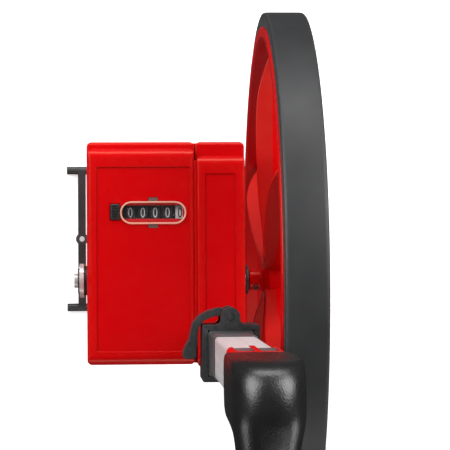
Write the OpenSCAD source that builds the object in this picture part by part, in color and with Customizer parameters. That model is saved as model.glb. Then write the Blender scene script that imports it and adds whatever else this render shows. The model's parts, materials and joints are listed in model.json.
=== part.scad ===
// Measuring wheel with a 1 m circumference, a five-digit counter, a folding
// stand and a telescopic handle. Millimetres. The instrument stands upright on
// its tyre and its stand: +Z is up, +X runs from the counter to the wheel and
// +Y is the direction of travel. The origin is on the ground, under the middle.

/* [Wheel] */
// Rolling circumference of the tyre
wheel_circumference = 1000; // [992:1:1004]
// Width of the tyre
tyre_w = 23.5; // [22.5:0.5:24]
// Thickness of the rubber
tyre_t = 8.5; // [8:0.1:9]
// Number of spokes
spoke_count = 6; // [5:1:7]
// Radius of the axle
axle_r = 4; // [3.8:0.1:4.2]

/* [Housing] */
// Width of the counter housing
box_w = 90.2; // [89.5:0.1:91]
// Reach of the housing in front of the axle
box_front = 80; // [78:1:84]
// Reach of the housing behind the axle
box_rear = 47.4; // [46.5:0.1:48]
// Height of the housing's face above the axle
box_rise = 60; // [59.5:0.1:60.5]
// Depth of the housing below the axle
box_drop = 31; // [28:1:34]
// Wall thickness of the plastic shells
wall = 2.5; // [2.2:0.1:2.6]
// Gap between the housing and the tyre
tyre_gap = 13.7; // [13.2:0.1:14.5]

/* [Counter] */
// Distance from one digit to the next
digit_pitch = 7.07; // [7:0.01:7.2]
// Radius of the number wheels
drum_r = 11.5; // [11.2:0.1:11.6]

/* [Handle] */
// Outside width of the fixed square tube
outer_w = 24.6; // [24.4:0.1:24.8]
// Outside width of the sliding square tube
middle_w = 21.8; // [21.6:0.1:21.8]
// Outside width of the inner square tube
inner_w = 18.8; // [18.4:0.1:18.8]
// Wall of the tubes
tube_t = 1.2; // [1:0.1:1.2]
// Top of the clamp collar above the ground
collar_top = 283; // [281:1:285]
// Top of the sliding tube when pushed in
middle_top = 440; // [438:1:442]
// Height of the whole instrument with the handle pushed in
total_h = 560; // [558:1:562]

/* [Stand] */
// How far the stand's pegs reach past the housing's side
peg_reach = 16.2; // [16:0.1:17]
// How far the axle's nut stands out past the tyre
nut_reach = 5.1; // [4.8:0.1:6]
// Distance between the two pegs
peg_spacing = 92.5; // [90:0.5:95]

/* [Hidden] */
$fn = 96;
fit = 0.03;
gap = 0.3;

// Stations along the axle
total_w = peg_reach + box_w + tyre_gap + tyre_w + nut_reach;
box_x0 = peg_reach - total_w / 2;
box_x1 = box_x0 + box_w;
tyre_x0 = box_x1 + tyre_gap;
tyre_x1 = tyre_x0 + tyre_w;
wheel_x = (tyre_x0 + tyre_x1) / 2;
tyre_r = wheel_circumference / (2 * PI);
axle_z = tyre_r;
rim_r = tyre_r - tyre_t;
hub_x0 = tyre_x0 - 8.4;
hub_x1 = tyre_x1 - 1;
hub_r = 6.4;
set_screw_x = hub_x0 + 4.3;
set_screw_a = 134;
lip_x0 = tyre_x0 - 1.2;
flange_x = tyre_x0 + 6.6;

// Housing
box_y0 = -box_rear;
box_y1 = box_front;
box_z0 = axle_z - box_drop;
face_z = axle_z + box_rise;
split_z = face_z - 26;
step_z = face_z - 10;
split_x = box_x0 + 61.8;
cover_gap = 0.4;
corner_r = 3;

// Handle tubes stand over the rear corner of the housing
tube_x = box_x1 - outer_w / 2 - 0.1;
tube_y = -37.1;
outer_z0 = 52;
outer_z1 = collar_top - 1;
middle_z0 = 66;
inner_z0 = 82;
collar_h = 34;
ferrule_z0 = middle_top + 42;
ferrule_z1 = ferrule_z0 + 44;
grip_z0 = ferrule_z0 + 6;
spigot_w = inner_w + 3.2;

// Gear train: axle gear, idler and counter gear in one straight line
gear_m = 1;
wheel_teeth = 24;
idler_teeth = 34;
gear_w = 4;
gear_x = box_x0 + 71.2;
plate_x = gear_x - 4.5;
axle_x0 = plate_x - 6;
plate_t = 1.5;
train_a = 47;
centre_d = gear_m * (wheel_teeth + idler_teeth) / 2;
idler_y = centre_d * cos(train_a);
idler_z = axle_z + centre_d * sin(train_a);
counter_y = 2 * centre_d * cos(train_a);
counter_z = axle_z + 2 * centre_d * sin(train_a);

// Number wheels
drum_w = 5.2;
digits = 5;
last_digit_x = box_x0 + 53.1;
first_digit_x = last_digit_x - (digits - 1) * digit_pitch;
shaft_r = 1.5;
transfer_m = 0.9;
ring_teeth = 20;
pinion_teeth = 8;
pinion_d = transfer_m * (ring_teeth + pinion_teeth) / 2 + 0.1;
pinion_y = counter_y;
pinion_z = counter_z - pinion_d;
pinion_shaft_r = 0.8;
frame_x0 = first_digit_x - 6;
frame_x1 = last_digit_x + 4.2;
frame_drop = 23;

// Window and reset key
window_x0 = box_x0 + 18.9;
window_x1 = window_x0 + 37.6;
window_y0 = counter_y - 6.7;
window_y1 = counter_y + 6.3;
slot_x0 = window_x0 + 1.3;
slot_x1 = window_x1 - 2;
slot_y0 = counter_y - 3.6;
slot_y1 = counter_y + 4;
lens_z0 = face_z - 1.6;
lens_t = 1.1;
tab_w = 5.2;
tab_l = 2.1;
key_x = box_x0 + 16.1;
key_y = counter_y + 0.3;
key_w = 5.2;
key_l = 8.8;
spring_z0 = counter_z - 2.2;
spring_z1 = face_z - 8;

// Stand
stand_x1 = box_x0 - 2.4;
leg_t = 2.6;
peg_r = 2.6;
peg_front_y = 71.6;
peg_rear_y = peg_front_y - peg_spacing;
foot_x = box_x0 - 6.2;
foot_w = 5.2;
foot_y = (peg_front_y + peg_rear_y) / 2;
stand_x0 = -total_w / 2;

function digit_x(i) = first_digit_x + (i - 1) * digit_pitch;

// Turns a flat shape or a shape round Z so that its own Z runs along +X
module along_x() {
    rotate([90, 0, 90]) children();
}
module at_axle(x) {
    translate([x, 0, axle_z]) along_x() children();
}
module disc(r, h) {
    cylinder(r = r, h = h);
}
module ring(r, bore, h) {
    difference() {
        cylinder(r = r, h = h);
        translate([0, 0, -1]) cylinder(r = bore, h = h + 2);
    }
}
// Rectangle with round corners
module round_rect(x0, x1, y0, y1, r) {
    translate([x0 + r, y0]) square([x1 - x0 - 2 * r, y1 - y0]);
    translate([x0, y0 + r]) square([x1 - x0, y1 - y0 - 2 * r]);
    for (x = [x0 + r, x1 - r], y = [y0 + r, y1 - r]) translate([x, y]) circle(r = r);
}
// Rectangle with its two upper corners round
module arch_rect(x0, x1, y0, y1, r) {
    translate([x0, y0]) square([x1 - x0, y1 - y0 - r]);
    translate([x0 + r, y0]) square([x1 - x0 - 2 * r, y1 - y0]);
    for (x = [x0 + r, x1 - r]) translate([x, y1 - r]) circle(r = r);
}
// Block with round upright edges and round upper edges: side_r left and right, end_r front and rear
module soft_block(x0, x1, y0, y1, z0, z1, r, side_r, end_r) {
    intersection() {
        translate([0, 0, z0]) linear_extrude(z1 - z0) round_rect(x0, x1, y0, y1, r);
        translate([0, y1, 0]) rotate([90, 0, 0]) linear_extrude(y1 - y0)
            arch_rect(x0, x1, z0, z1, side_r);
        translate([x0, 0, 0]) along_x() linear_extrude(x1 - x0)
            arch_rect(y0, y1, z0, z1, end_r);
    }
}
module box(x0, x1, y0, y1, z0, z1) {
    translate([x0, y0, z0]) cube([x1 - x0, y1 - y0, z1 - z0]);
}
// Square tube standing on z0
module square_tube(w, z0, z1, t) {
    translate([tube_x, tube_y, z0]) difference() {
        linear_extrude(z1 - z0) round_rect(-w / 2, w / 2, -w / 2, w / 2, 2);
        translate([0, 0, -1]) linear_extrude(z1 - z0 + 2)
            round_rect(t - w / 2, w / 2 - t, t - w / 2, w / 2 - t, 0.8);
    }
}
// Square ring round the handle, w wide outside and bore wide inside
module square_ring(w, bore, z0, z1, r) {
    translate([tube_x, tube_y, z0]) difference() {
        linear_extrude(z1 - z0) round_rect(-w / 2, w / 2, -w / 2, w / 2, r);
        translate([0, 0, -1]) linear_extrude(z1 - z0 + 2)
            round_rect(-bore / 2, bore / 2, -bore / 2, bore / 2, 2);
    }
}

// Involute gear outline with its first tooth on the flat shape's X axis
function involute(a) = tan(a) * 180 / PI - a;
function half_tooth(rho, base, z, play) =
    90 / z - play + involute(20) - involute(acos(min(1, base / max(rho, base))));
function flank(m, z, play) = let (
        pitch = m * z / 2,
        base = pitch * cos(20),
        root = pitch - 1.2 * m,
        tip = pitch + 0.9 * m
    ) [for (i = [0:4]) let (rho = root + (tip - root) * i / 4) [rho, half_tooth(rho, base, z, play)]];
module gear_shape(m, z, play) {
    side = flank(m, z, play);
    points = [
        for (k = [0:z - 1]) each concat(
            [for (p = side) p[0] * [cos(k * 360 / z - p[1]), sin(k * 360 / z - p[1])]],
            [for (i = [4:-1:0]) let (p = side[i])
                p[0] * [cos(k * 360 / z + p[1]), sin(k * 360 / z + p[1])]]
        )
    ];
    polygon(points);
}
// Gear of width h with a bore and light holes in its web
module gear(m, z, h, bore, hub) {
    difference() {
        union() {
            linear_extrude(h) gear_shape(m, z, 0.35);
            translate([0, 0, -1.5]) disc(hub, h + 3);
        }
        translate([0, 0, -3]) disc(bore, h + 6);
        for (a = [0:60:300]) rotate(a) translate([(hub + m * z / 2 - 1.2) / 2, 0, -1])
            disc((m * z / 2 - 1.2 - hub) / 3.4, h + 2);
    }
}

// ---- Wheel ----
module tyre() {
    color("dimgray") at_axle(0) rotate_extrude($fn = 180) polygon([
        [rim_r, tyre_x0], [tyre_r - 1.2, tyre_x0], [tyre_r - 0.4, tyre_x0 + 0.4],
        [tyre_r, tyre_x0 + 1.6], [tyre_r, tyre_x1 - 1.6], [tyre_r - 0.4, tyre_x1 - 0.4],
        [tyre_r - 1.2, tyre_x1], [rim_r, tyre_x1]
    ]);
}
// One spoke's outline: distance from the axle, then place along it
module spoke_shape() {
    polygon([
        [hub_r - 1, tyre_x0 + 1], [16, tyre_x0 + 1], [45, tyre_x0 - 1.6], [75, tyre_x0 - 3.2],
        [102, tyre_x0 - 3], [118, tyre_x0 - 0.6], [131, tyre_x0 + 3.4], [rim_r - 6, tyre_x0 + 9],
        [rim_r - 6, tyre_x1 - 9], [131, tyre_x1 - 3.4], [102, tyre_x1 - 1.5],
        [16, tyre_x1 - 4], [hub_r - 1, tyre_x1 - 4]
    ]);
}
// Spoke: a plate whose left edge thins out to a flange with two sloping sides
module spoke() {
    intersection() {
        translate([0, 2.5, 0]) rotate([90, 0, 0]) linear_extrude(5) spoke_shape();
        along_x() linear_extrude(rim_r) polygon([
            [-2.5, tyre_x1], [-2.5, flange_x], [-0.4, tyre_x0 - 3.3],
            [0.4, tyre_x0 - 3.3], [2.5, flange_x], [2.5, tyre_x1]
        ]);
    }
}
module wheel_disc() {
    color("red") at_axle(0) difference() {
        union() {
            rotate_extrude($fn = 180) polygon([
                [rim_r - 7, lip_x0 + 1.4], [rim_r - 6, lip_x0], [rim_r - 0.8, lip_x0],
                [rim_r, lip_x0 + 0.8],
                [rim_r, tyre_x1 - 1], [rim_r - 5.5, tyre_x1 - 1], [rim_r - 7, tyre_x1 - 3.5],
                [rim_r - 4.5, wheel_x + 3], [rim_r - 6.5, wheel_x], [rim_r - 4.5, wheel_x - 3]
            ]);
            for (k = [0:spoke_count - 1]) rotate(k * 360 / spoke_count)
                spoke();
            translate([0, 0, hub_x0]) disc(hub_r, hub_x1 - hub_x0);
            translate([0, 0, tyre_x0 + 2]) disc(15, tyre_w - 8);
        }
        translate([0, 0, hub_x0 - 1]) disc(axle_r + fit, hub_x1 - hub_x0 + 2);
        translate([0, 0, set_screw_x]) rotate(set_screw_a) rotate([0, 90, 0]) disc(1.9, hub_r + 4);
    }
}
module axle() {
    color("silver") at_axle(axle_x0) {
        disc(axle_r, hub_x1 + 0.8 - axle_x0);
        disc(2.5, tyre_x1 + nut_reach - 1 - axle_x0);
    }
}
module hub_set_screw() {
    color("gray") at_axle(set_screw_x) rotate(set_screw_a) rotate([0, 90, 0]) difference() {
        translate([0, 0, axle_r]) disc(1.85, hub_r - axle_r + 0.5);
        translate([0, 0, hub_r - 1.5]) cylinder(r = 1.1, h = 3, $fn = 6);
    }
}
module spacer_washer() {
    color("black") at_axle(hub_x0 - 1.6) ring(8.6, axle_r + fit, 1.4);
}
module axle_washer() {
    color("silver") at_axle(hub_x1 + 0.9) ring(9, 2.55, 1.2);
}
module axle_nut() {
    color("silver") at_axle(hub_x1 + 2.2) difference() {
        union() {
            cylinder(r = 4.6, h = tyre_x1 + nut_reach - hub_x1 - 2.2 - 1.5, $fn = 6);
            disc(3.7, tyre_x1 + nut_reach - hub_x1 - 2.2);
        }
        translate([0, 0, -1]) disc(2.55, tyre_x1 + nut_reach - hub_x1 - 2.2 + 0.2);
    }
}

// ---- Drive ----
module axle_gear() {
    color("white") at_axle(gear_x) rotate(train_a) gear(gear_m, wheel_teeth, gear_w, axle_r + fit, 7);
}
module axle_bushes() {
    color("goldenrod") {
        at_axle(box_x1 - 5) ring(6.5, axle_r + 0.05, 5.8);
        at_axle(box_x1 + 0.8) ring(8.5, axle_r + 0.05, 1.5);
        at_axle(plate_x - 3) ring(6.5, axle_r + 0.05, 5.6);
    }
}
module idler_gear() {
    color("white") translate([gear_x, idler_y, idler_z]) along_x()
        rotate(train_a + 180 / idler_teeth) gear(gear_m, idler_teeth, gear_w, 2.05, 5);
}
module idler_pin() {
    pin_l = gear_x + gear_w + 2.8 - plate_x + 1;
    color("silver") translate([plate_x - 1, idler_y, idler_z]) along_x() {
        disc(2, pin_l);
        translate([0, 0, pin_l - 1]) disc(3.2, 1);
    }
}
module counter_gear() {
    color("white") translate([gear_x, counter_y, counter_z]) along_x()
        rotate(train_a) gear(gear_m, wheel_teeth, gear_w, shaft_r + fit, 5);
}
module counter_shaft() {
    color("silver") translate([frame_x0 - 0.2, counter_y, counter_z]) along_x()
        disc(shaft_r, gear_x + gear_w + 2.5 - frame_x0 + 0.2);
}
module gear_plate() {
    color("silver") difference() {
        translate([plate_x, 0, 0]) along_x() linear_extrude(plate_t) difference() {
            round_rect(-16, 60, box_z0 + wall + 0.4, counter_z + 4.5, 3);
            translate([0, axle_z]) circle(r = 6.53);
            translate([idler_y, idler_z]) circle(r = 2.02);
            translate([counter_y, counter_z]) circle(r = shaft_r + 0.3);
        }
        for (y = [-11, 54]) translate([plate_x - 1, y, box_z0 + 9]) along_x() disc(1.6, plate_t + 2);
    }
}

// ---- Counter ----
module number_wheel(i) {
    color(i == digits ? "white" : "black")
        translate([digit_x(i) - drum_w / 2, counter_y, counter_z]) along_x() difference() {
            union() {
                ring(drum_r, 9.3, drum_w);
                translate([0, 0, drum_w - 2.4]) ring(9.6, 3, 1.8);
                ring(3.6, shaft_r + (i == digits ? fit : 0.05), drum_w + 1.2);
                if (i < digits) translate([0, 0, drum_w - 0.7]) linear_extrude(1.6) difference() {
                    gear_shape(transfer_m, ring_teeth, 1);
                    circle(r = 3.3);
                }
            }
            translate([0, 0, -2]) disc(shaft_r + (i == digits ? fit : 0.05), drum_w + 4);
        }
}
// Loose pinion between two number wheels, in mesh with the toothed ring of the left one
module transfer_pinion(i) {
    color("gainsboro") translate([digit_x(i) + drum_w / 2 + 0.15, pinion_y, pinion_z]) along_x()
        difference() {
            linear_extrude(1.4) rotate(90 + 180 / pinion_teeth)
                gear_shape(transfer_m, pinion_teeth, 2);
            translate([0, 0, -1]) disc(pinion_shaft_r + 0.05, 4);
        }
}
module pinion_shaft() {
    color("silver") translate([frame_x0 - 0.4, pinion_y, pinion_z]) along_x()
        disc(pinion_shaft_r, frame_x1 - frame_x0 + 1.5);
}
// Folded plate: two upright ears, a floor between them and a seat for the spring
module counter_frame() {
    color("darkgray") {
        for (x = [frame_x0, frame_x1]) translate([x, 0, 0]) along_x() linear_extrude(1)
            difference() {
                round_rect(counter_y - 12, counter_y + 12, counter_z - frame_drop, counter_z + 5, 2);
                translate([counter_y, counter_z]) circle(r = shaft_r + 0.05);
                translate([pinion_y, pinion_z]) circle(r = pinion_shaft_r + 0.02);
            }
        box(frame_x0, frame_x1 + 1, counter_y - 10, counter_y + 10,
            counter_z - frame_drop, counter_z - frame_drop + 1);
        box(key_x - 3, frame_x0 + 0.5, key_y - 3, key_y + 3, spring_z0 - 1, spring_z0);
    }
}
// Push key with an arm to the comb that lies behind the number wheels
module reset_key() {
    comb_y = counter_y - drum_r - 1.2;
    color("black") {
        difference() {
            soft_block(key_x - key_w / 2, key_x + key_w / 2, key_y - key_l / 2, key_y + key_l / 2,
                spring_z1, face_z + 1, 0.6, 0.8, 0.8);
            for (i = [-2:2]) box(key_x - 1.8, key_x + 1.8, key_y + i * 1.5 - 0.25,
                key_y + i * 1.5 + 0.25, face_z + 0.6, face_z + 2);
        }
        box(key_x - 2.6, key_x - 0.2, comb_y - 3, key_y - 4, spring_z1, spring_z1 + 2.4);
        box(key_x - 2.6, key_x - 0.2, comb_y - 3, comb_y - 0.6, counter_z + 1, spring_z1 + 2.4);
        box(key_x - 2.6, last_digit_x + 2, comb_y - 3, comb_y - 0.6, counter_z + 1, counter_z + 5);
        for (i = [1:digits]) box(digit_x(i) - 0.8, digit_x(i) + 0.8, comb_y - 1, comb_y,
            counter_z + 1.6, counter_z + 4.4);
    }
}
// Helix swept with a six-sided wire
module coil(r, wire, turns, h) {
    steps = turns * 14;
    sides = 6;
    function spot(i, j) = let (
            a = i * 360 / 14,
            b = j * 360 / sides,
            rr = r + wire * cos(b)
        ) [rr * cos(a), rr * sin(a), wire + (h - 2 * wire) * i / steps + wire * sin(b)];
    points = [for (i = [0:steps], j = [0:sides - 1]) spot(i, j)];
    walls = [for (i = [0:steps - 1], j = [0:sides - 1]) let (n = (j + 1) % sides)
        [i * sides + j, i * sides + n, (i + 1) * sides + n, (i + 1) * sides + j]];
    first = [for (j = [sides - 1:-1:0]) j];
    last = [for (j = [0:sides - 1]) steps * sides + j];
    polyhedron(points, concat(walls, [first], [last]), convexity = 6);
}
module reset_spring() {
    color("silver") translate([key_x, key_y, spring_z0 + 0.05])
        coil(1.8, 0.25, 5, spring_z1 - spring_z0 - 0.1);
}

// ---- Housing ----
// Places of the long screws that hold the covers
screw_spots = [
    [box_x0 + 7, box_y0 + 7], [box_x0 + 7, box_y1 - 13], [split_x - 7, box_y0 + 7],
    [box_x1 - 7, box_y1 - 17], [box_x1 - 7, tube_y + outer_w / 2 + 9]
];
module tube_notch(margin, z0, z1) {
    box(tube_x - outer_w / 2 - margin, box_x1 + 20, box_y0 - 20,
        tube_y + outer_w / 2 + margin, z0, z1);
}
module housing_base() {
    socket_w = outer_w + 5;
    color("red") difference() {
        union() {
            difference() {
                mirror_z(box_z0, split_z)
                    soft_block(box_x0, box_x1, box_y0, box_y1, box_z0, split_z, corner_r, 3, 3);
                soft_block(box_x0 + wall, box_x1 - wall, box_y0 + wall, box_y1 - wall,
                    box_z0 + wall, split_z + 9, 1, 1, 1);
            }
            translate([tube_x, tube_y, box_z0 - 6]) linear_extrude(split_z - box_z0 + 6)
                round_rect(-socket_w / 2, socket_w / 2, -socket_w / 2, socket_w / 2, 7);
            for (p = screw_spots) translate([p[0], p[1], box_z0]) disc(4, split_z - box_z0);
            at_axle(box_x1 - 6) disc(9.5, 6);
            for (y = [-11, 54]) box(plate_x - 5, plate_x - 0.1, y - 4, y + 4, box_z0 + 1, box_z0 + 14);
        }
        translate([tube_x, tube_y, box_z0 - 7]) linear_extrude(split_z - box_z0 + 9)
            round_rect(-outer_w / 2 - 0.05, outer_w / 2 + 0.05,
                -outer_w / 2 - 0.05, outer_w / 2 + 0.05, 2);
        at_axle(box_x1 - 5) disc(6.53, 8);
        at_axle(box_x1 - 8) disc(axle_r + 1, 12);
        for (p = screw_spots) translate([p[0], p[1], box_z0 - 1]) {
            disc(1.8, split_z);
            disc(3.8, 4);
        }
        for (z = [box_z0 + 15, split_z - 15]) translate([tube_x, tube_y - outer_w / 2 + 0.5, z])
            rotate([90, 0, 0]) disc(2.03, 6);
        at_axle(box_x0 - 1) disc(3.03, 12);
    }
}
// Turns a block upside down between z0 and z1
module mirror_z(z0, z1) {
    translate([0, 0, z0 + z1]) mirror([0, 0, 1]) children();
}
// Shell of a cover: a low rim and a raised block, hollow underneath
module cover_shell(x0, x1, raised_x0, raised_x1, raised_y1, side_r) {
    difference() {
        union() {
            soft_block(x0, x1, box_y0, box_y1, split_z + 0.2, step_z, corner_r, 1, 2.5);
            soft_block(raised_x0, raised_x1, box_y0 + 0.5, raised_y1, split_z + 1, face_z,
                3, side_r, 5.5);
        }
        soft_block(x0 + wall, x1 - wall, box_y0 + wall, box_y1 - wall,
            split_z - 1, step_z - wall, 1.5, 1.5, 1.5);
        soft_block(raised_x0 + wall, raised_x1 - wall, box_y0 + 0.5 + wall, raised_y1 - wall,
            split_z - 1, face_z - wall, 2, 2.5, 2.5);
    }
}
module screw_posts(from, to) {
    for (i = [from:to]) translate([screw_spots[i][0], screw_spots[i][1], split_z + 0.2])
        disc(4, face_z - split_z - 2.2);
}
module screw_holes() {
    for (p = screw_spots) translate([p[0], p[1], split_z - 1]) disc(1.63, 11);
}
module pill(x0, x1, y0, y1) {
    r = (y1 - y0) / 2;
    translate([x0 + r, y0]) square([x1 - x0 - 2 * r, 2 * r]);
    for (x = [x0 + r, x1 - r]) translate([x, y0 + r]) circle(r = r);
}
// Slot open at the bottom, so that a cover lifts off over the counter's shaft
module shaft_slot() {
    box(split_x - 6, split_x + 6, counter_y - 2.2, counter_y + 2.2, split_z - 1, counter_z + 2.2);
}
module counter_cover() {
    x0 = box_x0;
    x1 = split_x - cover_gap / 2;
    color("red") difference() {
        union() {
            cover_shell(x0, x1, x0 + 0.6, x1 - 0.6, box_y1 - 4.2, 2);
            screw_posts(0, 2);
        }
        translate([0, 0, face_z - 0.7]) linear_extrude(2)
            round_rect(x0 + 5.7, x1 - 2.9, box_y0 + 8.1, box_y1 - 14.8, 1);
        translate([0, 0, lens_z0 - 0.1]) linear_extrude(4) {
            pill(window_x0 - 0.1, window_x1 + 0.1, window_y0 - 0.1, window_y1 + 0.1);
            lens_tabs(0.1);
        }
        box(slot_x0, slot_x1, slot_y0, slot_y1, face_z - 5, face_z + 1);
        box(key_x - key_w / 2 - 0.2, key_x + key_w / 2 + 0.2, key_y - key_l / 2 - gap,
            key_y + key_l / 2 + gap, face_z - 5, face_z + 1);
        screw_holes();
        shaft_slot();
    }
}
module drive_cover() {
    x0 = split_x + cover_gap / 2;
    x1 = box_x1;
    color("red") difference() {
        union() {
            difference() {
                cover_shell(x0, x1, x0 + 0.6, x1 - 0.3, box_y1 - 8.4, 1.1);
                tube_notch(gap, split_z - 2, face_z + 1);
            }
            box(x0 + 0.8, x1 - 0.6, tube_y + outer_w / 2 + gap, tube_y + outer_w / 2 + gap + wall,
                split_z + 0.2, face_z - 1.5);
            screw_posts(3, 4);
        }
        translate([0, 0, face_z - 0.7]) linear_extrude(2)
            round_rect(x0 + 5.2, x1 - 5.7, tube_y + outer_w / 2 + 8, box_y1 - 18.7, 1);
        screw_holes();
        shaft_slot();
    }
}
// Two tabs that hold the lens, one on each long side
module lens_tabs(play) {
    x = (window_x0 + window_x1) / 2;
    translate([x - tab_w / 2 - play, window_y0 - tab_l - play])
        square([tab_w + 2 * play, window_y1 - window_y0 + 2 * tab_l + 2 * play]);
}
// Clear pill-shaped lens with a raised rim and two tabs
module window_lens() {
    color([0.85, 0.9, 0.92, 0.4]) translate([0, 0, lens_z0]) {
        linear_extrude(lens_t) {
            pill(window_x0, window_x1, window_y0, window_y1);
            lens_tabs(0);
        }
        linear_extrude(face_z + 0.9 - lens_z0) difference() {
            pill(window_x0, window_x1, window_y0, window_y1);
            pill(window_x0 + 0.9, window_x1 - 0.9, window_y0 + 0.9, window_y1 - 0.9);
        }
    }
}
module cover_screws() {
    color("silver") for (p = screw_spots) translate([p[0], p[1], box_z0 + 0.6]) difference() {
        union() {
            disc(3.5, 2.4);
            disc(1.6, split_z - box_z0 + 9);
        }
        translate([0, 0, -1]) cylinder(r = 1.5, h = 2.4, $fn = 6);
    }
}
module tube_screws() {
    color("dimgray") for (z = [box_z0 + 15, split_z - 15])
        translate([tube_x, tube_y - outer_w / 2, z]) rotate([90, 0, 0]) difference() {
            disc(2, 2.9);
            translate([0, 0, 1.2]) cylinder(r = 1.1, h = 3, $fn = 6);
        }
}

// ---- Handle ----
module outer_tube() {
    color("dimgray") square_tube(outer_w, outer_z0, outer_z1 - 15, tube_t);
}
lever_x = tube_x - 0.2;
lever_y = tube_y + 19.4;
ear_r = 5.2;
lever_z0 = collar_top - 24;
lever_z1 = collar_top - 8;
// Flat ear that carries the lever's pin
module ear(z0, z1) {
    translate([0, 0, z0]) linear_extrude(z1 - z0) difference() {
        union() {
            translate([lever_x, lever_y]) circle(r = ear_r);
            translate([lever_x - ear_r, tube_y + outer_w / 2])
                square([2 * ear_r, lever_y - tube_y - outer_w / 2]);
            difference() {
                translate([lever_x - ear_r - 3, collar_y1 - 0.5]) square([2 * ear_r + 6, 3.5]);
                for (s = [-1, 1]) translate([lever_x + s * (ear_r + 3), collar_y1 + 3]) circle(r = 3);
            }
        }
        translate([lever_x, lever_y]) circle(r = 1.53);
    }
}
collar_w = outer_w + 6;
collar_y1 = tube_y + collar_w / 2;
module clamp_collar() {
    color("black") difference() {
        union() {
            square_ring(collar_w, outer_w + 0.2, collar_top - collar_h, collar_top, 1);
            ear(lever_z1 + gap, collar_top);
            ear(collar_top - collar_h + 3, lever_z0 - gap);
        }
        square_cut(outer_w + 0.2, collar_top - collar_h - 1, collar_top + 1);
    }
}
module square_cut(w, z0, z1) {
    translate([tube_x, tube_y, z0]) linear_extrude(z1 - z0) square(w, center = true);
}
// Plastic sleeve that guides the sliding tube
module guide_sleeve() {
    color("darkslategray") {
        square_ring(outer_w, middle_w + 0.3, outer_z1 - 14.9, collar_top - 0.2, 2);
        square_ring(middle_w + 1.1, middle_w + 0.3, collar_top - 0.3, collar_top + 42, 2);
    }
}
// Cam lever: an eye, a bow round the collar's corner and a thick tip.
// Each station is [x, y, half thickness], from the pin outwards.
lever_path = [
    [0, 1.4, 2.4], [-6, 2.7, 2.1], [-11, 1.3, 1.9], [-15.4, -0.9, 1.9], [-18.3, -4.4, 1.95],
    [-19.2, -8.6, 2.05], [-19.8, -13.2, 2.4], [-21, -17, 3.2], [-21.7, -20, 3.6]
];
function lever_normal(i) = let (
        a = lever_path[max(i - 1, 0)],
        b = lever_path[min(i + 1, len(lever_path) - 1)],
        d = [b[0] - a[0], b[1] - a[1]]
    ) [-d[1], d[0]] / norm(d);
function lever_side(s) = [for (i = [0:len(lever_path) - 1])
    [lever_path[i][0], lever_path[i][1]] + s * lever_path[i][2] * lever_normal(i)];
module clamp_lever() {
    h = lever_z1 - lever_z0;
    tip = lever_path[len(lever_path) - 1];
    near_side = lever_side(1);
    far_side = lever_side(-1);
    last = len(lever_path) - 1;
    color("black") translate([lever_x, lever_y, lever_z0]) difference() {
        union() {
            disc(3.8, h);
            linear_extrude(h) polygon(concat(near_side, [for (i = [last:-1:0]) far_side[i]]));
            hull() for (s = [-1, 1]) translate([tip[0] + 1.9 * s, tip[1] - 0.9, 0]) disc(1.8, h);
        }
        translate([0, 0, -1]) disc(1.55, h + 2);
    }
}
module lever_pin() {
    color("gray") translate([lever_x, lever_y, collar_top - collar_h + 2]) disc(1.5, collar_h - 1.6);
}
module middle_tube() {
    color("silver") square_tube(middle_w, middle_z0, middle_top + 40, tube_t);
}
// Plastic glide pinned into the foot of a sliding tube
module glide(w, z0) {
    translate([tube_x, tube_y, z0]) difference() {
        union() {
            linear_extrude(4) round_rect(-w / 2, w / 2, -w / 2, w / 2, 2);
            translate([0, 0, 3]) linear_extrude(11)
                round_rect(tube_t + fit - w / 2, w / 2 - tube_t - fit,
                    tube_t + fit - w / 2, w / 2 - tube_t - fit, 1);
        }
        translate([0, 0, -1]) disc(w / 2 - 5, 20);
    }
}
module middle_glide() {
    color("black") glide(middle_w, middle_z0 - 4);
}
module upper_collar() {
    color("black") {
        square_ring(middle_w + 0.9, middle_w + 0.06, middle_top, middle_top + 40.1, 2);
        square_ring(middle_w + 0.9, inner_w + 0.3, middle_top + 40, middle_top + 41.7, 2);
    }
}
module inner_tube() {
    color("silver") difference() {
        square_tube(inner_w, inner_z0, ferrule_z1 + 10, tube_t);
        pin_hole();
    }
}
module inner_glide() {
    color("black") glide(inner_w, inner_z0 - 4);
}
// Red ferrule: a spigot inside the grip and eight fingers that reach down over the collar
module grip_ferrule() {
    finger_w = 2.4;
    finger_in = middle_w / 2 + 0.65;
    finger_out = finger_in + 0.7;
    color("red") difference() {
        union() {
            square_ring(2 * finger_out, inner_w + 0.06, ferrule_z0, grip_z0 - 0.05, 2.5);
            square_ring(spigot_w, inner_w + 0.06, grip_z0 - 0.1, ferrule_z1, 2);
            for (a = [0:90:270]) translate([tube_x, tube_y, 0]) rotate(a) {
                translate([finger_in, -finger_w / 2, middle_top - 4])
                    cube([finger_out - finger_in, finger_w, ferrule_z0 - middle_top + 5]);
                intersection() {
                    translate([finger_in - 2, finger_in - 2, middle_top + 8])
                        cube([3, 3, ferrule_z0 - middle_top - 7]);
                    difference() {
                        translate([0, 0, middle_top]) linear_extrude(60)
                            round_rect(-finger_out, finger_out, -finger_out, finger_out, 2.5);
                        translate([0, 0, middle_top - 1]) linear_extrude(62)
                            round_rect(-finger_in, finger_in, -finger_in, finger_in, 2);
                    }
                }
            }
        }
        pin_hole();
    }
}
// Cross hole for the pin that holds the grip's ferrule to the inner tube
module pin_hole() {
    translate([tube_x - 20, tube_y, ferrule_z0 + 24]) rotate([0, 90, 0]) disc(1.53, 40);
}
module grip_pin() {
    color("silver") translate([tube_x - spigot_w / 2, tube_y, ferrule_z0 + 24])
        rotate([0, 90, 0]) disc(1.5, spigot_w);
}
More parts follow.
